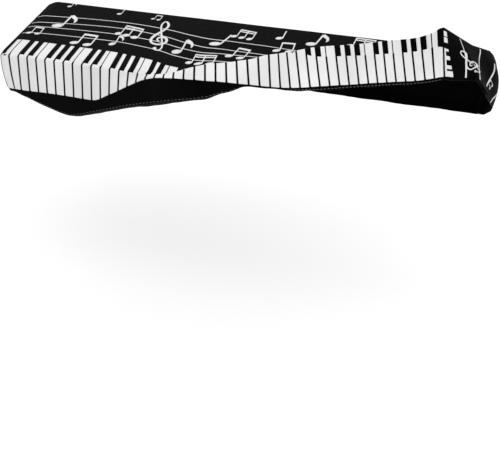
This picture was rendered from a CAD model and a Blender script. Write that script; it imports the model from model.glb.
import math
from bisect import bisect_right
import bpy
from mathutils import Matrix, Vector, noise


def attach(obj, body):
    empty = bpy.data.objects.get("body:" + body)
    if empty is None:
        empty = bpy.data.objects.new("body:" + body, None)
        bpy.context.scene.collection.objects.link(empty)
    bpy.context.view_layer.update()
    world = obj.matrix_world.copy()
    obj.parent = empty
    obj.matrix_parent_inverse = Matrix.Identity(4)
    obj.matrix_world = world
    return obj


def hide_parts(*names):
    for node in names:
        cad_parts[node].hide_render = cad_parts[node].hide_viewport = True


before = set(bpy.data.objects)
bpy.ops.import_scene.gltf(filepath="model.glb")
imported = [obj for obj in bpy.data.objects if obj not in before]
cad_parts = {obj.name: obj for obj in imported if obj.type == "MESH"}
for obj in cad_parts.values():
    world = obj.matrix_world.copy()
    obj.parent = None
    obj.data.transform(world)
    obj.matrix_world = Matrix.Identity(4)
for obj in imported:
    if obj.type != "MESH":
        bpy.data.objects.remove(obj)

bpy.ops.object.select_all(action="DESELECT")
scene = bpy.context.scene
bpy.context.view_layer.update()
print("frame loaded")


# Place in metres in the cover's frame; azimuth, elevation and roll in degrees.
camera = {
    "place": (0.5340, -1.6450, 0.7255),
    "azimuth": 16.81,
    "elevation": 38.16,
    "roll": 0.37,
    "lens": 46.8,
    "sensor": 36,
    "clip": (0.05, 60),
}


def cameraTurn():
    azimuth = math.radians(camera["azimuth"])
    elevation = math.radians(camera["elevation"])
    roll = math.radians(camera["roll"])
    back = Vector((
        math.sin(azimuth) * math.cos(elevation),
        -math.cos(azimuth) * math.cos(elevation),
        math.sin(elevation),
    ))
    right = Vector((math.cos(azimuth), math.sin(azimuth), 0))
    up = back.cross(right)
    sideways = right * math.cos(roll) + up * math.sin(roll)
    upwards = up * math.cos(roll) - right * math.sin(roll)
    return Matrix((sideways, upwards, back)).transposed().to_4x4()


bpy.ops.object.camera_add()
cameraObject = bpy.context.object
cameraObject.name = "camera"
cameraObject.data.lens = camera["lens"]
cameraObject.data.sensor_width = camera["sensor"]
cameraObject.data.clip_start, cameraObject.data.clip_end = camera["clip"]
cameraObject.matrix_world = Matrix.Translation(camera["place"]) @ cameraTurn()
scene.camera = cameraObject
print("camera set")


# The cloth, in millimetres from the left end of its front bend. Each section across it runs from
# the rear hem over the top to the front hem, and u is its place along the rear edge.
cloth = {
    "length": 1334,
    "depth": 292,
    "rearHeight": 164,
    "middleTop": 135.5,
    "thickness": 1.2,
    "columns": 222,
    "seamGap": 0.4,
    "cornerDrop": 8,
    "cornerReach": 30,
    "leftSwell": 8,
    "swellReach": 70,
    "fold": {"footPull": 0.4, "shut": 0.35, "rise": 7, "lean": 2},
    "arcSteps": 6,
    "rearSkirt": {"hemY": 266, "hemZ": -9, "turnY": 294, "turnZ": 0},
    "rounding": {"rear": 8, "foot": 6, "ridge": 7, "edge": 5},
    "steps": {
        "rearHem": 4, "rearSkirt": 22, "top": 46, "lift": 3, "fold": 10, "brow": 3,
        "band": 20, "border": 12, "hem": 8,
    },
}

# One row for each section: how far its front and its ridge have slid to the left, how open the
# fold is, then the fold's foot and ridge, the band's lower edge, the lowest turn and the hem.
sectionColumns = (
    "u", "frontPull", "ridgePull", "loop", "footY", "footZ", "ridgeY", "ridgeZ",
    "edgeY", "edgeZ", "turnY", "turnZ", "hemY", "hemZ",
)
sectionRows = (
    (0, -12, 0, 0, 14, 111, -2, 105, -20, 9, -14, -3, 30, -9),
    (60, 1, 0, 0, 14, 111, -2, 105, -20, 9, -21, -11, 18, -20),
    (130, 2, 1, 0, 14, 111, -2, 105, -19, 11, -25, -31, 5, -39),
    (205, 3, 1, 0, 14, 111, -2, 105, -20, 12, -26, -47, -8, -57),
    (287, 5, 2, 0, 14, 111, -2, 105, -20, 11, -24, -25, -4, -39),
    (345, 6, 3, 0, 14, 111, -2, 105, -19, 36, -23, -8, 0, -22),
    (403, 7, 4, 0, 13, 111, -3, 106, -16, 67, -24, 11, -3, -3),
    (461, 8, 6, 0, 8, 110, -4, 107, -17, 97, -25, 27, -8, 13),
    (520, 9, 14, 0.5, -2, 107, -2, 114, -24, 113, -27, 44, -14, 31),
    (578, 10, 23, 1, -3, 106, 18, 125, -21, 116, -26, 58, -10, 47),
    (636, 11, 32, 1, 10, 108, 48, 134, -12, 116, -22, 71, -4, 61),
    (694, 12, 37, 1, 28, 112, 67, 138, -5, 116, -17, 92, 10, 84),
    (752, 12, 41, 1, 42, 116, 84, 146, 5, 113, 8, 104, 46, 97),
    (811, 14, 42, 1, 52, 118, 95, 163, 13, 111, 18, 103, 58, 99),
    (869, 20, 53, 1, 65, 120, 100, 174, 18, 114, 18, 106, 64, 104),
    (956, 33, 71, 1, 92, 125, 130, 185, 36, 120, 30, 111, 78, 112),
    (1073, 54, 89, 1, 120, 130, 160, 193, 64, 128, 59, 120, 102, 127),
    (1189, 80, 112, 1, 152, 141, 178, 209, 95, 133, 91, 125, 128, 132),
    (1250, 92, 124, 0.8, 178, 162, 183, 219, 108, 137, 105, 129, 141, 136),
    (1305, 104, 134, 0.3, 209, 188, 190, 236, 124, 143, 122, 134, 154, 139),
    (1334, 110, 137, 0, 232, 198, 198, 250, 130, 147, 129, 138, 156, 139),
)

# v is the cloth's length from its rear bend, and the print follows it. It is fixed at the lower
# edge of the keys and at the hem, and where the fold hides some of the keys, at its ridge.
printLength = {"keysEnd": 394, "hem": 469, "foldFrom": 461, "foldTo": 520}
ridgeLength = (
    (520, 350), (578, 354), (636, 326), (694, 309), (752, 302), (811, 301), (869, 297), (898, 289),
    (956, 256), (1014, 250), (1073, 247), (1131, 244), (1189, 241), (1305, 241), (1334, 223),
)

# How far the print has slid forward over the front bend, beside the fold.
slideRows = (
    (0, 0), (300, 0), (384, 9), (444, 18), (502, 34), (560, 38), (640, 18), (760, 0), (1334, 0),
)

# How far the print behind the fold has slipped to the left, and how far forward the slip reaches.
slipRows = ((0, 0), (262, 0), (335, 8), (420, 10), (520, 14), (575, 12), (630, 0), (1334, 0))
slipReach = {"from": 215, "to": 292, "loose": 60, "looseFrom": 440, "looseTo": 520}


def easedCurve(rows, column):
    at = [row[0] for row in rows]
    value = [row[column] for row in rows]
    last = len(rows) - 1
    rise = [(value[i + 1] - value[i]) / (at[i + 1] - at[i]) for i in range(last)]
    slope = [0.0] * (last + 1)
    for i in range(1, last):
        if rise[i - 1] * rise[i] > 0:
            slope[i] = 2 * rise[i - 1] * rise[i] / (rise[i - 1] + rise[i])

    def height(u):
        i = min(max(bisect_right(at, u) - 1, 0), last - 1)
        span = at[i + 1] - at[i]
        t = min(max((u - at[i]) / span, 0), 1)
        early = (1 + 2 * t) * (1 - t) ** 2 * value[i] + t * (1 - t) ** 2 * span * slope[i]
        late = t * t * (3 - 2 * t) * value[i + 1] + t * t * (t - 1) * span * slope[i + 1]
        return early + late

    return height


def smooth(low, high, x):
    t = min(max((x - low) / (high - low), 0), 1)
    return t * t * (3 - 2 * t)


sectionCurve = {name: easedCurve(sectionRows, i) for i, name in enumerate(sectionColumns)}
ridgeCurve = easedCurve(ridgeLength, 1)
slideCurve = easedCurve(slideRows, 1)
slipCurve = easedCurve(slipRows, 1)


def sectionBends(u):
    at = {name: curve(u) for name, curve in sectionCurve.items()}
    rounding = cloth["rounding"]
    steps = cloth["steps"]
    skirt = cloth["rearSkirt"]
    opened = at["loop"]
    fold = cloth["fold"]
    shut = fold["shut"] * (1 - opened)
    drop = cloth["cornerDrop"] * max(0, 1 - u / cloth["cornerReach"]) ** 2
    foot = Vector((u - fold["footPull"] * at["ridgePull"], at["footY"], at["footZ"]))
    ridge = Vector((u - at["ridgePull"], at["ridgeY"], at["ridgeZ"]))
    footTop = foot.lerp(ridge, shut) + Vector((0, -opened, fold["rise"] * opened))
    ridgeBack = ridge.lerp(foot, shut) + Vector((0, fold["lean"] * opened, -fold["rise"] * opened))
    front = u - at["frontPull"]
    return (
        (Vector((u, skirt["hemY"], skirt["hemZ"])), 0, steps["rearHem"]),
        (Vector((u, skirt["turnY"], skirt["turnZ"])), rounding["rear"], steps["rearSkirt"]),
        (Vector((u, cloth["depth"] - drop, cloth["rearHeight"] - drop)), rounding["rear"], steps["top"]),
        (foot, rounding["foot"], steps["lift"]),
        (footTop, rounding["foot"], steps["fold"]),
        (ridgeBack, rounding["ridge"], steps["brow"]),
        (ridge, rounding["ridge"], steps["band"]),
        (Vector((front, at["edgeY"], at["edgeZ"])), rounding["edge"], steps["border"]),
        (Vector((front, at["turnY"], at["turnZ"])), rounding["edge"], steps["hem"]),
        (Vector((front, at["hemY"], at["hemZ"])), 0, 0),
    )


# The points of one section, and the rows at the middle of each of its bends.
def roundedPath(bends):
    path = [bends[0][0].copy()]
    middles = []
    for i in range(1, len(bends)):
        here, radius, _ = bends[i]
        before = bends[i - 1][0]
        ended = i == len(bends) - 1
        after = here if ended else bends[i + 1][0]
        legIn = (here - before).length
        legOut = (after - here).length
        reach = 0 if ended else min(radius, 0.45 * legIn, 0.45 * legOut)
        enter = here.lerp(before, reach / legIn)
        start = path[-1].copy()
        steps = bends[i - 1][2]
        path.extend(start.lerp(enter, k / steps) for k in range(1, steps + 1))
        if ended:
            break
        leave = here.lerp(after, reach / legOut)
        arc = cloth["arcSteps"]
        for k in range(1, arc + 1):
            t = k / arc
            path.append(enter * (1 - t) ** 2 + here * 2 * t * (1 - t) + leave * t * t)
        middles.append(len(path) - 1 - arc // 2)
    return path, middles


def printRows(u, path, middles):
    length = [0.0]
    for a, b in zip(path, path[1:]):
        length.append(length[-1] + (b - a).length)
    rear, foot, ridge, edge = (length[middles[k]] for k in (1, 2, 5, 6))
    slid = slideCurve(u)
    natural = ridge - rear - slid
    folded = smooth(printLength["foldFrom"], printLength["foldTo"], u)
    ridgeAt = natural + (ridgeCurve(u) - natural) * folded
    marks = (
        (0, -rear), (rear, 0), (foot, foot - rear - slid), (ridge, ridgeAt),
        (edge, printLength["keysEnd"]), (length[-1], printLength["hem"]),
    )
    rows = []
    k = 0
    for at in length:
        while k < len(marks) - 2 and at > marks[k + 1][0]:
            k += 1
        (low, vLow), (high, vHigh) = marks[k], marks[k + 1]
        rows.append(vLow + (vHigh - vLow) * (at - low) / (high - low))
    return rows


# Creases in millimetres: the calm top, the loose front, its gathered hems and the skirt's drape.
# Each grows over its u and v ranges, and slant turns its lines.
crease = {
    "calm": {"height": 0.5, "along": 150, "across": 90, "seed": 3.1},
    "loose": {
        "height": 2.4, "along": 38, "across": 150, "seed": 7.7,
        "u": (440, 640), "v": (270, 330), "slant": -0.35,
    },
    "drag": {
        "height": 1.7, "along": 80, "across": 46, "seed": 12.3,
        "u": (250, 420), "v": (300, 350), "slant": 0.8,
    },
    "gather": {"height": 1.4, "along": 21, "across": 60, "seed": 5.5, "reach": 50, "full": 8},
    "turned": {"height": 1.4, "along": 21, "across": 60, "seed": 9.5, "reach": 14, "share": 0.6},
    "skirt": {"height": 1.8, "along": 70, "across": 260, "seed": 21.4, "v": (-20, -90)},
    "hemFold": {"depth": 13, "height": 0.5, "ease": 1.5},
    "plainEnd": 26,
}


def ripple(u, v, part):
    place = Vector((u / part["along"], v / part["across"], part["seed"]))
    return part["height"] * noise.noise(place)


def slantedRipple(u, v, part):
    grown = smooth(*part["u"], u) * smooth(*part["v"], v)
    return grown * ripple(u + part["slant"] * v, v, part)


def creaseHeight(u, v, rearEnd, turn):
    gather, turned, skirt = crease["gather"], crease["turned"], crease["skirt"]
    raised = ripple(u, v, crease["calm"])
    raised += slantedRipple(u, v, crease["loose"])
    raised += slantedRipple(u, v, crease["drag"])
    raised += smooth(rearEnd + gather["reach"], rearEnd + gather["full"], v) * ripple(u, v, gather)
    raised += turned["share"] * smooth(turn, turn + turned["reach"], v) * ripple(u, v, turned)
    raised += smooth(*skirt["v"], v) * ripple(u, v, skirt)
    fold = crease["hemFold"]
    front = turn - fold["depth"]
    rear = rearEnd + fold["depth"]
    doubled = max(
        smooth(front - fold["ease"], front + fold["ease"], v),
        smooth(rear + fold["ease"], rear - fold["ease"], v),
    )
    calmEnds = smooth(0, crease["plainEnd"], min(u, cloth["length"] - u))
    return raised * calmEnds + fold["height"] * doubled


def sheetNormals(grid):
    across = len(grid)
    along = len(grid[0])
    normals = []
    for i in range(across):
        column = []
        for j in range(along):
            du = grid[min(i + 1, across - 1)][j] - grid[max(i - 1, 0)][j]
            dv = grid[i][min(j + 1, along - 1)] - grid[i][max(j - 1, 0)]
            column.append(dv.cross(du).normalized())
        normals.append(column)
    return normals


def mainPanel():
    columns = cloth["columns"]
    points = []
    lengths = []
    for i in range(columns + 1):
        u = cloth["length"] * i / columns
        path, middles = roundedPath(sectionBends(u))
        swell = cloth["leftSwell"] * max(0, 1 - u / cloth["swellReach"]) ** 2
        ridge, edge = middles[5], middles[6]
        for j in range(ridge, edge):
            t = (j - ridge) / (edge - ridge)
            path[j].x -= swell * 4 * t * (1 - t)
        points.append(path)
        lengths.append(printRows(u, path, middles))
    seamLine = [list(points[0]), list(points[-1])]
    normals = sheetNormals(points)
    for i in range(columns + 1):
        u = cloth["length"] * i / columns
        rearEnd = lengths[i][0]
        turn = lengths[i][middles[7]]
        for j, v in enumerate(lengths[i]):
            points[i][j] = points[i][j] + normals[i][j] * creaseHeight(u, v, rearEnd, turn)
    panel = {
        "points": points,
        "normals": sheetNormals(points),
        "u": [cloth["length"] * i / columns for i in range(columns + 1)],
        "v": lengths,
        "middles": middles,
        "slips": True,
    }
    return panel, seamLine


offset = Vector((cloth["length"] / 2, cloth["depth"] / 2, cloth["middleTop"]))


def toFrame(point):
    return (point - offset) / 1000


# Vertices, faces and cloth coordinates that are gathered before they become a mesh.
def newShape():
    return {"points": [], "faces": [], "smooth": [], "uv": []}


# A closed sheet between two grids of points, grid[column][row], with its outside on the first.
# Where filled(column, row) is false, the sheet has a hole with closed edges.
def addShell(shape, outer, inner, uvGrid, filled=None):
    across = len(outer)
    along = len(outer[0])
    number = {}

    def isFilled(i, j):
        inside = 0 <= i < across - 1 and 0 <= j < along - 1
        return inside and (filled is None or filled(i, j))

    def at(side, i, j):
        if (side, i, j) not in number:
            number[side, i, j] = len(shape["points"])
            shape["points"].append(toFrame((outer, inner)[side][i][j]))
            shape["uv"].append((uvGrid[i][j][0] / 1000, uvGrid[i][j][1] / 1000))
        return number[side, i, j]

    def face(smoothed, *corners):
        shape["faces"].append(corners)
        shape["smooth"].append(smoothed)

    for i in range(across - 1):
        for j in range(along - 1):
            if not isFilled(i, j):
                continue
            face(True, at(0, i, j), at(0, i, j + 1), at(0, i + 1, j + 1), at(0, i + 1, j))
            face(True, at(1, i, j), at(1, i + 1, j), at(1, i + 1, j + 1), at(1, i, j + 1))
            if not isFilled(i, j - 1):
                face(False, at(0, i, j), at(0, i + 1, j), at(1, i + 1, j), at(1, i, j))
            if not isFilled(i, j + 1):
                face(False, at(1, i, j + 1), at(1, i + 1, j + 1), at(0, i + 1, j + 1), at(0, i, j + 1))
            if not isFilled(i - 1, j):
                face(False, at(0, i, j), at(1, i, j), at(1, i, j + 1), at(0, i, j + 1))
            if not isFilled(i + 1, j):
                face(False, at(0, i + 1, j), at(0, i + 1, j + 1), at(1, i + 1, j + 1), at(1, i + 1, j))


def makePiece(name, shape, material):
    mesh = bpy.data.meshes.new(name)
    mesh.from_pydata(shape["points"], [], shape["faces"])
    mesh.polygons.foreach_set("use_smooth", shape["smooth"])
    layer = mesh.uv_layers.new(name="clothUV")
    for loop in mesh.loops:
        layer.data[loop.index].uv = shape["uv"][loop.vertex_index]
    mesh.materials.append(material)
    mesh.update()
    piece = bpy.data.objects.new(name, mesh)
    scene.collection.objects.link(piece)
    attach(piece, "root")
    return piece


def clothShell(panel, thickness):
    shape = newShape()
    half = thickness / 2
    columns = range(len(panel["points"]))
    rows = range(len(panel["points"][0]))
    outer = [[panel["points"][i][j] + panel["normals"][i][j] * half for j in rows] for i in columns]
    inner = [[panel["points"][i][j] - panel["normals"][i][j] * half for j in rows] for i in columns]
    uvGrid = [[(panel["u"][i], panel["v"][i][j]) for j in rows] for i in columns]
    addShell(shape, outer, inner, uvGrid)
    return shape


# A place on the cloth at u and v, as its column, its share to the next and its row.
def columnAt(panel, u):
    i = min(max(bisect_right(panel["u"], u) - 1, 0), len(panel["u"]) - 2)
    return i, (u - panel["u"][i]) / (panel["u"][i + 1] - panel["u"][i])


def rowAt(panel, i, v):
    rows = panel["v"][i]
    j = min(max(bisect_right(rows, v) - 1, 0), len(rows) - 2)
    return j + (v - rows[j]) / (rows[j + 1] - rows[j])


def rowLength(panel, i, row):
    j = min(max(int(row), 0), len(panel["v"][i]) - 2)
    return panel["v"][i][j] + (row - j) * (panel["v"][i][j + 1] - panel["v"][i][j])


def rowPoint(panel, i, row):
    j = min(max(int(row), 0), len(panel["v"][i]) - 2)
    t = row - j
    return (
        panel["points"][i][j].lerp(panel["points"][i][j + 1], t),
        panel["normals"][i][j].lerp(panel["normals"][i][j + 1], t),
    )


def gridPoint(panel, u, rowOf, lift):
    i, t = columnAt(panel, u)
    place, normal = rowPoint(panel, i, rowOf(i))
    nextPlace, nextNormal = rowPoint(panel, i + 1, rowOf(i + 1))
    normal = normal.lerp(nextNormal, t).normalized()
    return place.lerp(nextPlace, t) + normal * (cloth["thickness"] / 2 + lift)


def clothPoint(panel, u, v, lift):
    at = slipped(panel, u, v)
    return gridPoint(panel, at, lambda i: rowAt(panel, i, v), lift)


def slipped(panel, u, v):
    if not panel["slips"]:
        return u
    loosened = smooth(slipReach["looseFrom"], slipReach["looseTo"], u)
    reach = slipReach["to"] + slipReach["loose"] * loosened
    share = (reach - v) / (reach - slipReach["from"])
    return u - slipCurve(u) * min(max(share, 0), 1)


# The print stands on the cloth as a film: lift in millimetres, and how far it reaches into it.
film = {"keys": 0.22, "staves": 0.2, "notes": 0.26, "heads": 0.32, "root": -0.3}


# A patch follows the cloth's own columns, where they aren't too near its edges, and its rows.
patch = {"leastGap": 1.2, "rowsPerCell": 1.3}


# The columns of a printed patch between its edges.
def patchColumns(panel, edges):
    edges = sorted(set(edges))
    between = [u for u in panel["u"] if edges[0] < u < edges[-1]]
    return sorted(edges + [u for u in between if min(abs(u - e) for e in edges) > patch["leastGap"]])


# The rows of a patch as shares of the way from vLow to vHigh, closer where the cloth's own are.
def patchRows(panel, us, vLow, vHigh):
    columns = [columnAt(panel, u)[0] for u in us]
    most = max(rowAt(panel, i, vHigh) - rowAt(panel, i, vLow) for i in columns)
    count = math.ceil(patch["rowsPerCell"] * most)
    return [(vLow, vHigh, k / count) for k in range(count + 1)]


# A printed patch over the columns us and rows, rounded at its two front corners.
def addPatch(shape, panel, us, rows, lift, cornerCut=0, filled=None):
    def place(u, row, height):
        vLow, vHigh, share = row
        cut = cornerCut if row is rows[-1] and u in (us[0], us[-1]) else 0

        def rowOf(i):
            low = rowAt(panel, i, vLow)
            return low + (rowAt(panel, i, vHigh - cut) - low) * share

        i, _ = columnAt(panel, u)
        return gridPoint(panel, slipped(panel, u, rowLength(panel, i, rowOf(i))), rowOf, height)

    outer = [[place(u, row, lift) for row in rows] for u in us]
    inner = [[place(u, row, film["root"]) for row in rows] for u in us]
    uvGrid = [[(u, low + (high - low) * share) for low, high, share in rows] for u in us]
    addShell(shape, outer, inner, uvGrid, filled)


def addBar(shape, panel, uLow, uHigh, vLow, vHigh, lift):
    us = patchColumns(panel, [uLow, uHigh])
    addPatch(shape, panel, us, patchRows(panel, us, vLow, vHigh), lift)


# Keys: pitch and widths in millimetres along the cloth, lengths from its rear bend.
keys = {
    "first": -4.1,
    "pitch": 29.1,
    "rear": 222,
    "blackEnd": 290,
    "end": 394,
    "frontGap": 5.4,
    "rearGap": 3,
    "blackLow": -2.5,
    "blackHigh": 15,
    "lastBlack": -14,
    "corner": 2.2,
    "margin": 0.8,
    "leastWidth": 3,
    "last": 46,
    "withoutBlack": (1, 4, 8, 11, 15, 18, 22, 25, 28, 31, 34, 38, 41, 45),
}


def addKeys(shape, panel):
    cut = keys["corner"]
    clothEnd = cloth["length"] - keys["margin"]
    for k in range(keys["last"] + 1):
        left = keys["first"] + keys["pitch"] * k
        right = left + keys["pitch"]
        rearLeft = left + (keys["rearGap"] / 2 if k in keys["withoutBlack"] else keys["blackHigh"])
        rearRight = right + (-keys["rearGap"] / 2 if k + 1 in keys["withoutBlack"] else keys["blackLow"])
        frontLeft = max(left + keys["frontGap"] / 2, keys["margin"])
        frontRight = min(right - keys["frontGap"] / 2, clothEnd)
        if k + 1 == keys["last"]:
            rearRight = right + keys["lastBlack"]
            frontRight = clothEnd
        if frontRight - frontLeft < keys["leastWidth"]:
            continue
        edges = [frontLeft, frontRight, rearLeft, rearRight, frontLeft + cut, frontRight - cut]
        us = patchColumns(panel, edges)
        us = [u for u in us if min(frontLeft, rearLeft) <= u <= max(frontRight, rearRight)]
        rearRows = patchRows(panel, us, keys["rear"], keys["blackEnd"])
        rows = rearRows + patchRows(panel, us, keys["blackEnd"], keys["end"])[1:]

        def filled(i, j):
            if j < len(rearRows) - 1:
                return rearLeft <= us[i] and us[i + 1] <= rearRight
            return frontLeft <= us[i] and us[i + 1] <= frontRight

        addPatch(shape, panel, us, rows, film["keys"], cut, filled)


# A printed stroke along points (x, y, width), on the cloth itself or in a motif's own axes.
def addStroke(shape, panel, points, lift, motif=None):
    sides = [[], []]
    uvSides = [[], []]
    roots = [[], []]
    order = ((0, -1), (1, 1)) if motif else ((0, 1), (1, -1))
    for k, (x, y, width) in enumerate(points):
        before = points[max(k - 1, 0)]
        after = points[min(k + 1, len(points) - 1)]
        along = Vector((after[0] - before[0], after[1] - before[1])).normalized()
        across = Vector((-along.y, along.x)) * width / 2
        for side, sign in order:
            at = (x + sign * across.x, y + sign * across.y)
            u, v = motifPoint(motif, *at) if motif else at
            sides[side].append(clothPoint(panel, u, v, lift))
            roots[side].append(clothPoint(panel, u, v, film["root"]))
            uvSides[side].append((u, v))
    addShell(shape, sides, roots, uvSides)


# The size of a clef and of a note's unit in millimetres, and how finely motifs are drawn.
motifScale = {"clef": 140, "note": 10}
motifDetail = {"clefParts": 4, "noteParts": 5, "ovalSides": 22, "strokeStep": 0.02}


# A printed oval of a motif, its long half a, its short half b, turned by tilt degrees.
def addOval(shape, panel, motif, oval, lift):
    middleX, middleY, a, b, tilt = oval
    turn = math.radians(tilt)
    count = motifDetail["ovalSides"]
    first = len(shape["points"])
    for height in (lift, film["root"]):
        for k in range(-1, count):
            angle = math.tau * k / count
            along = a * math.cos(angle) * (k >= 0)
            aside = b * math.sin(angle) * (k >= 0)
            x = middleX + along * math.cos(turn) - aside * math.sin(turn)
            y = middleY + along * math.sin(turn) + aside * math.cos(turn)
            u, v = motifPoint(motif, x, y)
            shape["points"].append(toFrame(clothPoint(panel, u, v, height)))
            shape["uv"].append((u / 1000, v / 1000))
    below = first + count + 1
    for k in range(count):
        m = (k + 1) % count
        shape["faces"].append((first, first + 1 + k, first + 1 + m))
        shape["faces"].append((below, below + 1 + m, below + 1 + k))
        shape["faces"].append((first + 1 + m, first + 1 + k, below + 1 + k, below + 1 + m))
        shape["smooth"] += [True, True, False]


# Music notes. Each stroke or oval is in a note's own units of 10 mm: x to the right, y to the rear.
noteStrokes = {
    "crotchet": {
        "ovals": ((0, 0, 1.45, 0.85, 16),),
        "strokes": (((1.2, 0.2, 0.5), (1.3, 2.6, 0.45), (1.4, 5.2, 0.5)),),
    },
    "quaver": {
        "ovals": ((0, 0, 1.5, 0.9, 16),),
        "strokes": (
            ((1.25, 0.2, 0.5), (1.35, 2.6, 0.5), (1.45, 5.4, 0.6)),
            ((1.45, 5.4, 1.0), (2.1, 4.9, 1.2), (3.1, 4.2, 1.0), (3.7, 3.2, 0.7), (3.6, 2.3, 0.3)),
        ),
    },
    "pair": {
        "ovals": ((0, 0, 1.4, 0.8, 14), (4.4, -0.3, 1.4, 0.8, 14)),
        "strokes": (
            ((1.15, 0.2, 0.45), (1.25, 2.6, 0.45), (1.35, 5.0, 0.5)),
            ((5.55, -0.1, 0.45), (5.65, 2.3, 0.45), (5.75, 4.7, 0.5)),
            ((1.12, 4.9, 0.9), (3.5, 4.8, 0.9), (5.98, 4.6, 0.9)),
        ),
    },
    "triple": {
        "ovals": ((0, 0, 1.3, 0.8, 14), (3.4, -0.5, 1.3, 0.8, 14), (6.8, -1.0, 1.3, 0.8, 14)),
        "strokes": (
            ((1.1, 0.2, 0.42), (1.2, 2.4, 0.42), (1.3, 4.8, 0.42)),
            ((4.5, -0.3, 0.42), (4.6, 1.9, 0.42), (4.7, 4.3, 0.42)),
            ((7.9, -0.8, 0.42), (8.0, 1.4, 0.42), (8.1, 3.8, 0.42)),
            ((1.1, 4.9, 0.7), (4.7, 4.4, 0.7), (8.3, 3.9, 0.7)),
            ((1.1, 3.7, 0.6), (4.7, 3.2, 0.6), (8.3, 2.7, 0.6)),
        ),
    },
}

# The clef's line from its curl to its foot (x, y, width) in shares of its height.
clefLine = (
    (-0.015, 0.29, 0.030), (-0.065, 0.33, 0.040), (-0.050, 0.395, 0.046), (0.030, 0.425, 0.050),
    (0.125, 0.375, 0.058), (0.150, 0.275, 0.062), (0.085, 0.195, 0.058), (-0.040, 0.175, 0.052),
    (-0.165, 0.230, 0.052), (-0.205, 0.345, 0.062), (-0.150, 0.475, 0.068), (-0.045, 0.590, 0.060),
    (0.055, 0.700, 0.052), (0.110, 0.820, 0.056), (0.085, 0.935, 0.050), (0.030, 0.985, 0.036),
    (-0.030, 0.925, 0.036), (-0.045, 0.800, 0.040), (-0.015, 0.600, 0.040), (0.030, 0.370, 0.040),
    (0.075, 0.150, 0.038), (0.070, 0.035, 0.036), (0.010, -0.020, 0.034), (-0.070, 0.005, 0.030),
)
clefDot = (-0.075, 0.040, 0.045, 0.045, 0)


# A point of a motif at (x, y), turned by tilt degrees about its middle.
def motifPoint(motif, x, y):
    turn = math.radians(motif["tilt"])
    size = motif["size"]
    y -= motif["middle"]
    right = size * (x * math.cos(turn) - y * math.sin(turn))
    up = size * (x * math.sin(turn) + y * math.cos(turn))
    if motif["plane"]:
        return underPlane(motif["plane"], right, up)
    return motif["u"] + right, motif["v"] - up


# How a motif's flat plane is laid on the cloth and searched for the place under a point.
planeSearch = {"reach": 8, "rounds": 9, "longestStep": 15, "margin": 2}


# A flat plane on the cloth at (u, v), for motifs where the cloth's own lengths are drawn together.
def clothPlane(panel, u, v):
    reach = planeSearch["reach"]
    origin = clothPoint(panel, u, v, 0)
    right = (clothPoint(panel, u + reach, v, 0) - clothPoint(panel, u - reach, v, 0)).normalized()
    up = clothPoint(panel, u, v - reach, 0) - clothPoint(panel, u, v + reach, 0)
    up = (up - right * up.dot(right)).normalized()
    return {"panel": panel, "u": u, "v": v, "origin": origin, "right": right, "up": up}


# The place on the cloth straight under the point (right, up) of such a plane, in millimetres.
def underPlane(plane, right, up):
    panel = plane["panel"]
    u, v = plane["u"], plane["v"]
    margin = planeSearch["margin"]
    longest = planeSearch["longestStep"]
    for _ in range(planeSearch["rounds"]):
        here = clothPoint(panel, u, v, 0)
        stepU = clothPoint(panel, u + 1, v, 0) - here
        stepV = clothPoint(panel, u, v + 1, 0) - here
        missing = here - plane["origin"]
        x = right - missing.dot(plane["right"])
        y = up - missing.dot(plane["up"])
        a, b = stepU.dot(plane["right"]), stepV.dot(plane["right"])
        c, d = stepU.dot(plane["up"]), stepV.dot(plane["up"])
        whole = a * d - b * c
        u += min(max((x * d - y * b) / whole, -longest), longest)
        v += min(max((a * y - c * x) / whole, -longest), longest)
        u = min(max(u, margin), panel["u"][-1] - margin)
        v = min(max(v, margin), panel["v"][0][-1] - margin)
    return u, v


def splineAt(t, p, q, r, s):
    bend = (2 * p - 5 * q + 4 * r - s) * t * t
    return 0.5 * (2 * q + (r - p) * t + bend + (3 * q - p - 3 * r + s) * t ** 3)


def splinePoints(points, parts):
    line = []
    for k in range(len(points) - 1):
        a = points[max(k - 1, 0)]
        b = points[k]
        c = points[k + 1]
        d = points[min(k + 2, len(points) - 1)]
        for n in range(parts + (k == len(points) - 2)):
            t = n / parts
            line.append(tuple(splineAt(t, *four) for four in zip(a, b, c, d)))
    return line


def addMotif(shape, panel, kind, u, v, size, tilt, plane=None, middle=0):
    motif = {"u": u, "v": v, "tilt": tilt, "plane": plane, "middle": middle}
    motif["size"] = size * motifScale["clef" if kind == "clef" else "note"]
    if kind == "clef":
        line = splinePoints(clefLine, motifDetail["clefParts"])
        addStroke(shape, panel, line, film["notes"], motif)
        addOval(shape, panel, motif, clefDot, film["heads"])
        return
    for n, line in enumerate(noteStrokes[kind]["strokes"]):
        lift = film["notes"] + motifDetail["strokeStep"] * n
        addStroke(shape, panel, splinePoints(line, motifDetail["noteParts"]), lift, motif)
    for oval in noteStrokes[kind]["ovals"]:
        addOval(shape, panel, motif, oval, film["heads"])


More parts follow.
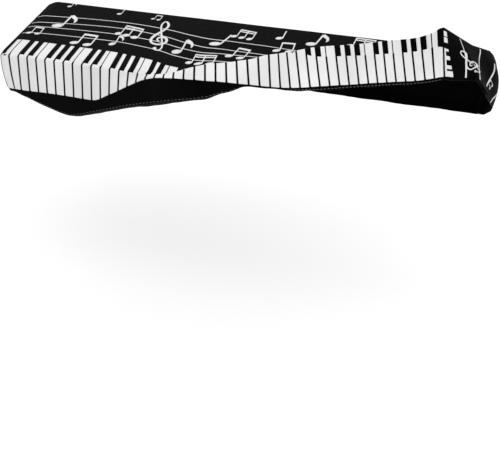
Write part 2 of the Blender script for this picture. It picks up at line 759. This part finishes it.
# Four waving lines: their mean length from the rear bend, how far they wave, and their width.
staves = {
    "lines": ((90, 18), (128, 24), (150, 14), (184, 12)),
    "wave": 1200,
    "start": 6,
    "step": 5,
    "width": 2.3,
}
motifs = (
    ("quaver", 92, 131, 1.15, -2), ("pair", 26, 184, 0.62, 4), ("pair", 186, 204, 0.95, 2),
    ("quaver", 303, 186, 0.8, 8), ("triple", 296, 132, 0.9, 2), ("crotchet", 250, 30, 0.5, 0),
    ("clef", 452, 174, 1, 16), ("quaver", 512, 162, 1.0, 6), ("triple", 566, 196, 0.72, 6),
    ("crotchet", 600, 108, 0.95, -14), ("pair", 654, 160, 0.8, -8), ("triple", 634, 68, 0.7, 0),
    ("crotchet", 764, 56, 0.75, 4), ("quaver", 860, 66, 1.0, -6), ("pair", 372, 34, 0.42, 0),
    ("quaver", 76, 22, 0.45, 0), ("pair", 776, 118, 0.8, 8), ("crotchet", 934, 116, 0.9, -8),
    ("triple", 968, 50, 0.8, 6), ("quaver", 1052, 128, 0.9, 4), ("pair", 1110, 60, 0.8, -6),
    ("clef", 1216, 150, 0.85, 5), ("crotchet", 1296, 66, 0.8, 0),
)


def addStaves(shape, panel):
    for mean, wave in staves["lines"]:
        line = []
        u = staves["start"]
        while u < cloth["length"] - staves["start"]:
            v = mean - wave * math.sin(math.tau * u / staves["wave"])
            line.append((u, v, staves["width"]))
            u += staves["step"]
        addStroke(shape, panel, line, film["staves"])


# The right end's print, in its own lengths from the front seam and from the top seam: the sides of
# the last keys, the staves' ends and a few notes.
endPrint = {
    "bars": (
        (1.5, 17, 103, 117), (1.5, 16, 89, 98), (1.5, 14.5, 66, 76), (1.5, 13, 49, 55),
        (1.5, 5.5, 48, 110), (1.5, 13, 6, 19), (1.5, 13, 21, 34),
    ),
    "lines": (
        ((69, 4), (60, 42), (48, 84), (40, 118)),
        ((168, 3), (140, 34), (112, 66), (92, 96)),
        ((198, 30), (182, 52), (160, 80), (150, 92)),
        ((196, 100), (172, 118), (156, 138)),
    ),
    "motifs": (("clef", 68, 70, 0.48, 86, 0.42), ("pair", 160, 90, 0.3, 40, 2)),
    "width": 3,
    "lift": 0.4,
    "parts": 10,
}

# The end panels fill the frame of their seams and their hem, and bulge out between them.
endPanels = {
    "along": 64,
    "down": 40,
    "wide": 240,
    "deep": 150,
    "fold": {"height": 3.2, "along": 42, "across": 110},
    "foldSeed": 31.0,
    "left": {"bulge": ((0, 0), (0.5, 3), (1, 0)), "hem": ()},
    "right": {
        "bulge": ((0, 0), (0.3, 3), (0.6, 6), (0.85, 30), (0.95, 27), (1, 0)),
        "hem": (
            (1249, 152, 141), (1281, 157, 142), (1311, 161, 143), (1319, 146, 140), (1327, 124, 135),
            (1338, 116, 122), (1346, 140, 96), (1356, 176, 68), (1366, 208, 45), (1366, 235, 20),
            (1352, 255, -3),
        ),
    },
}


def alongPath(path, share):
    lengths = [(b - a).length for a, b in zip(path, path[1:])]
    left = share * sum(lengths)
    for k, length in enumerate(lengths):
        if left <= length or k == len(lengths) - 1:
            return path[k].lerp(path[k + 1], min(left / length, 1))
        left -= length


def bulgeAt(rows, s):
    k = max(next((i for i, row in enumerate(rows) if row[0] >= s), 1), 1)
    (start, low), (end, high) = rows[k - 1], rows[k]
    return low + (high - low) * smooth(start, end, s)


def endPanel(side, edge, inner, middles, direction):
    hem = [Vector(p) for p in endPanels[side]["hem"]]
    around = edge + hem
    middle = sum(around, Vector()) / len(around)
    shift = cloth["thickness"] + cloth["seamGap"]
    seam = []
    for j, p in enumerate(edge):
        tangent = (edge[min(j + 1, len(edge) - 1)] - edge[max(j - 1, 0)]).normalized()
        away = p - inner[j]
        away = (away - tangent * away.dot(tangent)).normalized()
        inwards = middle - p
        inwards = (inwards - tangent * inwards.dot(tangent)).normalized()
        seam.append(p + (away + inwards).normalized() * shift)
    rearBend = middles[1]
    ridgeBend = middles[5]
    rearSeam = seam[:rearBend + 1][::-1]
    topSeam = seam[rearBend:ridgeBend + 1][::-1]
    frontSeam = seam[ridgeBend:]
    hemLine = [frontSeam[-1]] + hem + [rearSeam[-1]]
    points = []
    for i in range(endPanels["along"] + 1):
        s = i / endPanels["along"]
        top = alongPath(topSeam, s)
        low = alongPath(hemLine, s)
        column = []
        for j in range(endPanels["down"] + 1):
            t = j / endPanels["down"]
            front = alongPath(frontSeam, t)
            back = alongPath(rearSeam, t)
            corners = topSeam[0] * (1 - s) * (1 - t) + topSeam[-1] * s * (1 - t)
            corners += hemLine[0] * (1 - s) * t + hemLine[-1] * s * t
            puff = bulgeAt(endPanels[side]["bulge"], s) * math.sin(math.pi * t ** (1.5 - 0.85 * s))
            filled = front * (1 - s) + back * s + top * (1 - t) + low * t - corners
            column.append(filled + Vector((direction * puff, 0, 0)))
        points.append(column)
    across = [endPanels["wide"] * i / endPanels["along"] for i in range(endPanels["along"] + 1)]
    down = [endPanels["deep"] * j / endPanels["down"] for j in range(endPanels["down"] + 1)]
    if side == "left":
        points.reverse()
    normals = sheetNormals(points)
    fold = {**endPanels["fold"], "seed": endPanels["foldSeed"] + direction}
    for i, x in enumerate(across):
        for j, y in enumerate(down):
            inside = math.sin(math.pi * i / endPanels["along"])
            inside *= math.sin(math.pi * j / endPanels["down"])
            points[i][j] = points[i][j] + normals[i][j] * ripple(x, y, fold) * inside
    return {
        "points": points,
        "normals": sheetNormals(points),
        "u": across,
        "v": [down] * len(across),
        "slips": False,
    }


# The sewn seams and the hems' stitches, in millimetres.
seams = {
    "radius": 1.3,
    "sides": 8,
    "uvStep": (0.004, 0.001),
    "stitch": (6.5, 1.0, 0.6),
    "stitchLift": 0.15,
    "stitchEvery": 11,
    "stitchFrom": 4,
    "stitchEnd": 8,
    "stitchAim": 2,
    "frontInset": 3,
    "rearInset": 12,
}


# A tube along points, with its ends closed.
def tubeShape(path, radius, sides):
    shape = newShape()
    side = Vector((1, 0, 0))
    for k, p in enumerate(path):
        tangent = (path[min(k + 1, len(path) - 1)] - path[max(k - 1, 0)]).normalized()
        side = (side - tangent * side.dot(tangent)).normalized()
        other = tangent.cross(side)
        for n in range(sides):
            angle = math.tau * n / sides
            outwards = side * math.cos(angle) + other * math.sin(angle)
            shape["points"].append(toFrame(p + outwards * radius))
            shape["uv"].append((k * seams["uvStep"][0], n * seams["uvStep"][1]))
    for k in range(len(path) - 1):
        for n in range(sides):
            m = (n + 1) % sides
            here, there = k * sides, (k + 1) * sides
            shape["faces"].append((here + n, here + m, there + m, there + n))
            shape["smooth"].append(True)
    last = (len(path) - 1) * sides
    shape["faces"].append(tuple(range(sides - 1, -1, -1)))
    shape["faces"].append(tuple(last + n for n in range(sides)))
    shape["smooth"] += [False, False]
    return shape


# One stitch is modelled and copied along a line of places on the cloth.
def stitchModel():
    bpy.ops.mesh.primitive_uv_sphere_add(segments=8, ring_count=5, radius=1)
    model = bpy.context.object
    long, wide, high = seams["stitch"]
    model.scale = (long / 2, wide / 2, high / 2)
    bpy.ops.object.transform_apply(location=False, rotation=False, scale=True)
    points = [vertex.co.copy() for vertex in model.data.vertices]
    faces = [tuple(face.vertices) for face in model.data.polygons]
    bpy.data.objects.remove(model)
    return points, faces


def addStitches(shape, panel, line, model):
    points, faces = model
    for (u, v), (uNext, vNext) in line:
        place = clothPoint(panel, u, v, seams["stitchLift"])
        along = (clothPoint(panel, uNext, vNext, seams["stitchLift"]) - place).normalized()
        i, _ = columnAt(panel, u)
        normal = rowPoint(panel, i, rowAt(panel, i, v))[1]
        normal = (normal - along * normal.dot(along)).normalized()
        across = normal.cross(along)
        first = len(shape["points"])
        for p in points:
            shape["points"].append(toFrame(place + along * p.x + across * p.y + normal * p.z))
            shape["uv"].append((u / 1000, v / 1000))
        for face in faces:
            shape["faces"].append(tuple(first + n for n in face))
            shape["smooth"].append(True)


# The places of the stitches on the front and the rear hem, each with the place it points to.
def hemLines(panel):
    frontLine = []
    rearLine = []
    u = seams["stitchFrom"]
    while u < cloth["length"] - seams["stitchEnd"]:
        i, _ = columnAt(panel, u)
        uNext = u + seams["stitchAim"]
        vFront = panel["v"][i][panel["middles"][7]] - seams["frontInset"]
        frontLine.append(((u, vFront), (uNext, vFront)))
        vRear = panel["v"][i][0] + seams["rearInset"]
        rearLine.append(((u, vRear), (uNext, vRear)))
        u += seams["stitchEvery"]
    return frontLine, rearLine


# Finishes. The knit's loops and the cloth's slight unevenness are one group for every material.
finishes = {
    "knit": {
        "wale": 0.0011, "course": 0.0009, "slant": 1.4, "fullness": 1.6, "relief": 0.0002,
        "unevenness": 9, "detail": 6, "cloudLow": 0.3, "cloudGain": 1.6, "grain": 0.12,
    },
    "black": {"dark": (0.0004, 0.0004, 0.0004), "light": (0.0012, 0.0012, 0.0012), "roughness": 0.7},
    "sheen": 0.028,
    "white": {"dark": (0.62, 0.62, 0.62), "light": (0.78, 0.78, 0.78), "roughness": 0.75},
    "thread": {"dark": (0.14, 0.14, 0.14), "light": (0.22, 0.22, 0.22), "roughness": 0.7},
}


def knitGroup():
    knit = finishes["knit"]
    group = bpy.data.node_groups.new("knit", "ShaderNodeTree")
    face = group.interface
    face.new_socket(name="Vector", in_out="INPUT", socket_type="NodeSocketVector")
    for name, value in (("Wale", knit["wale"]), ("Course", knit["course"])):
        socket = face.new_socket(name=name, in_out="INPUT", socket_type="NodeSocketFloat")
        socket.default_value = value
    face.new_socket(name="Height", in_out="OUTPUT", socket_type="NodeSocketFloat")
    face.new_socket(name="Shade", in_out="OUTPUT", socket_type="NodeSocketFloat")
    nodes = group.nodes
    links = group.links
    start = nodes.new("NodeGroupInput")
    end = nodes.new("NodeGroupOutput")
    apart = nodes.new("ShaderNodeSeparateXYZ")
    links.new(start.outputs["Vector"], apart.inputs[0])

    def mathNode(kind, a, b=None):
        node = nodes.new("ShaderNodeMath")
        node.operation = kind
        for k, value in enumerate((a, b)):
            if value is None:
                continue
            if isinstance(value, (int, float)):
                node.inputs[k].default_value = value
            else:
                links.new(value, node.inputs[k])
        return node.outputs[0]

    wale = mathNode("MULTIPLY", mathNode("DIVIDE", apart.outputs[0], start.outputs["Wale"]), math.tau)
    course = mathNode("DIVIDE", apart.outputs[1], start.outputs["Course"])
    course = mathNode("MULTIPLY", course, math.tau)
    bow = mathNode("ABSOLUTE", mathNode("SINE", wale))
    slanted = mathNode("ADD", course, mathNode("MULTIPLY", bow, knit["slant"]))
    loops = mathNode("MULTIPLY", bow, mathNode("ADD", mathNode("SINE", slanted), knit["fullness"]))
    links.new(loops, end.inputs["Height"])
    cloud = nodes.new("ShaderNodeTexNoise")
    cloud.inputs["Scale"].default_value = knit["unevenness"]
    cloud.inputs["Detail"].default_value = knit["detail"]
    links.new(start.outputs["Vector"], cloud.inputs["Vector"])
    grain = mathNode("MULTIPLY", loops, knit["grain"])
    mottle = mathNode("SUBTRACT", cloud.outputs[0], knit["cloudLow"])
    shade = mathNode("ADD", mathNode("MULTIPLY", mottle, knit["cloudGain"]), grain)
    links.new(shade, end.inputs["Shade"])
    return group


def clothMaterial(name, finish, bump, specular):
    material = bpy.data.materials.new(name)
    material.use_nodes = True
    nodes = material.node_tree.nodes
    links = material.node_tree.links
    surface = nodes["Principled BSDF"]
    place = nodes.new("ShaderNodeUVMap")
    place.uv_map = "clothUV"
    knit = nodes.new("ShaderNodeGroup")
    knit.node_tree = bpy.data.node_groups["knit"]
    links.new(place.outputs["UV"], knit.inputs["Vector"])
    mix = nodes.new("ShaderNodeMix")
    mix.data_type = "RGBA"
    links.new(knit.outputs["Shade"], mix.inputs["Factor"])
    mix.inputs["A"].default_value = (*finish["dark"], 1)
    mix.inputs["B"].default_value = (*finish["light"], 1)
    links.new(mix.outputs["Result"], surface.inputs["Base Color"])
    relief = nodes.new("ShaderNodeBump")
    relief.inputs["Strength"].default_value = bump
    relief.inputs["Distance"].default_value = finishes["knit"]["relief"]
    links.new(knit.outputs["Height"], relief.inputs["Height"])
    links.new(relief.outputs["Normal"], surface.inputs["Normal"])
    surface.inputs["Roughness"].default_value = finish["roughness"]
    surface.inputs["Specular IOR Level"].default_value = specular
    return material


knitGroup()
blackCloth = clothMaterial("blackKnit", finishes["black"], 0.5, 0.015)
blackCloth.node_tree.nodes["Principled BSDF"].inputs["Sheen Weight"].default_value = finishes["sheen"]
whitePrint = clothMaterial("whitePrint", finishes["white"], 0.35, 0.2)
greyThread = clothMaterial("greyThread", finishes["thread"], 0.3, 0.2)
print("finishes made")

panel, edges = mainPanel()
mainSheet = makePiece("main_cloth", clothShell(panel, cloth["thickness"]), blackCloth)
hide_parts("main_panel")
print("main panel made")

keyShape = newShape()
addKeys(keyShape, panel)
keyPrint = makePiece("printed_keys", keyShape, whitePrint)
noteShape = newShape()
addStaves(noteShape, panel)
for row in motifs:
    addMotif(noteShape, panel, *row)
notePrint = makePiece("printed_notes", noteShape, whitePrint)
print("print made")

leftEnd = endPanel("left", edges[0], panel["points"][1], panel["middles"], -1)
rightEnd = endPanel("right", edges[1], panel["points"][-2], panel["middles"], 1)
leftSheet = makePiece("left_end_cloth", clothShell(leftEnd, cloth["thickness"]), blackCloth)
rightSheet = makePiece("right_end_cloth", clothShell(rightEnd, cloth["thickness"]), blackCloth)
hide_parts("left_end_panel")
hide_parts("right_end_panel")
print("end panels made")

endShape = newShape()
for row in endPrint["bars"]:
    addBar(endShape, rightEnd, *row, film["keys"])
for line in endPrint["lines"]:
    line = splinePoints(line, endPrint["parts"])
    addStroke(endShape, rightEnd, [(x, y, endPrint["width"]) for x, y in line], endPrint["lift"])
for kind, u, v, size, tilt, middle in endPrint["motifs"]:
    addMotif(endShape, rightEnd, kind, u, v, size, tilt, clothPlane(rightEnd, u, v), middle)
endPrintPiece = makePiece("printed_end", endShape, whitePrint)
print("end print made")

leftTube, rightTube = (tubeShape(edge, seams["radius"], seams["sides"]) for edge in edges)
leftSeam = makePiece("left_seam", leftTube, blackCloth)
rightSeam = makePiece("right_seam", rightTube, blackCloth)
stitchShape = newShape()
model = stitchModel()
frontLine, rearLine = hemLines(panel)
addStitches(stitchShape, panel, frontLine, model)
addStitches(stitchShape, panel, rearLine, model)
stitches = makePiece("hem_stitches", stitchShape, greyThread)
print("seams made")


# Surroundings: a pale floor well below the cover, a white sky and two soft lamps.
surroundings = {
    "floorHeight": -0.75,
    "floorSize": 14,
    "floorColor": (0.93, 0.93, 0.93),
    "floorRoughness": 0.9,
    "sky": 1.0,
    "lamps": (
        {"name": "overhead", "place": (0.3, -0.6, 2.6), "size": 2.6, "power": 24},
        {"name": "rearGloss", "place": (-0.9, 2.6, 2.1), "size": 2.4, "power": 14},
    ),
}
floorPlace = (0, 0, surroundings["floorHeight"])
bpy.ops.mesh.primitive_plane_add(size=surroundings["floorSize"], location=floorPlace)
floor = bpy.context.object
floor.name = "floor"
floorMaterial = bpy.data.materials.new("paleFloor")
floorMaterial.use_nodes = True
paint = floorMaterial.node_tree.nodes["Principled BSDF"]
paint.inputs["Base Color"].default_value = (*surroundings["floorColor"], 1)
paint.inputs["Roughness"].default_value = surroundings["floorRoughness"]
floor.data.materials.append(floorMaterial)

world = bpy.data.worlds.new("studio")
scene.world = world
world.use_nodes = True
world.node_tree.nodes["Background"].inputs["Color"].default_value = (1, 1, 1, 1)
world.node_tree.nodes["Background"].inputs["Strength"].default_value = surroundings["sky"]
for lamp in surroundings["lamps"]:
    bpy.ops.object.light_add(type="AREA", location=lamp["place"])
    light = bpy.context.object
    light.name = lamp["name"]
    light.data.size = lamp["size"]
    light.data.energy = lamp["power"]
    light.rotation_mode = "QUATERNION"
    light.rotation_quaternion = (-Vector(lamp["place"])).to_track_quat("-Z", "Y")
scene.view_settings.view_transform = "Standard"
print("surroundings made")
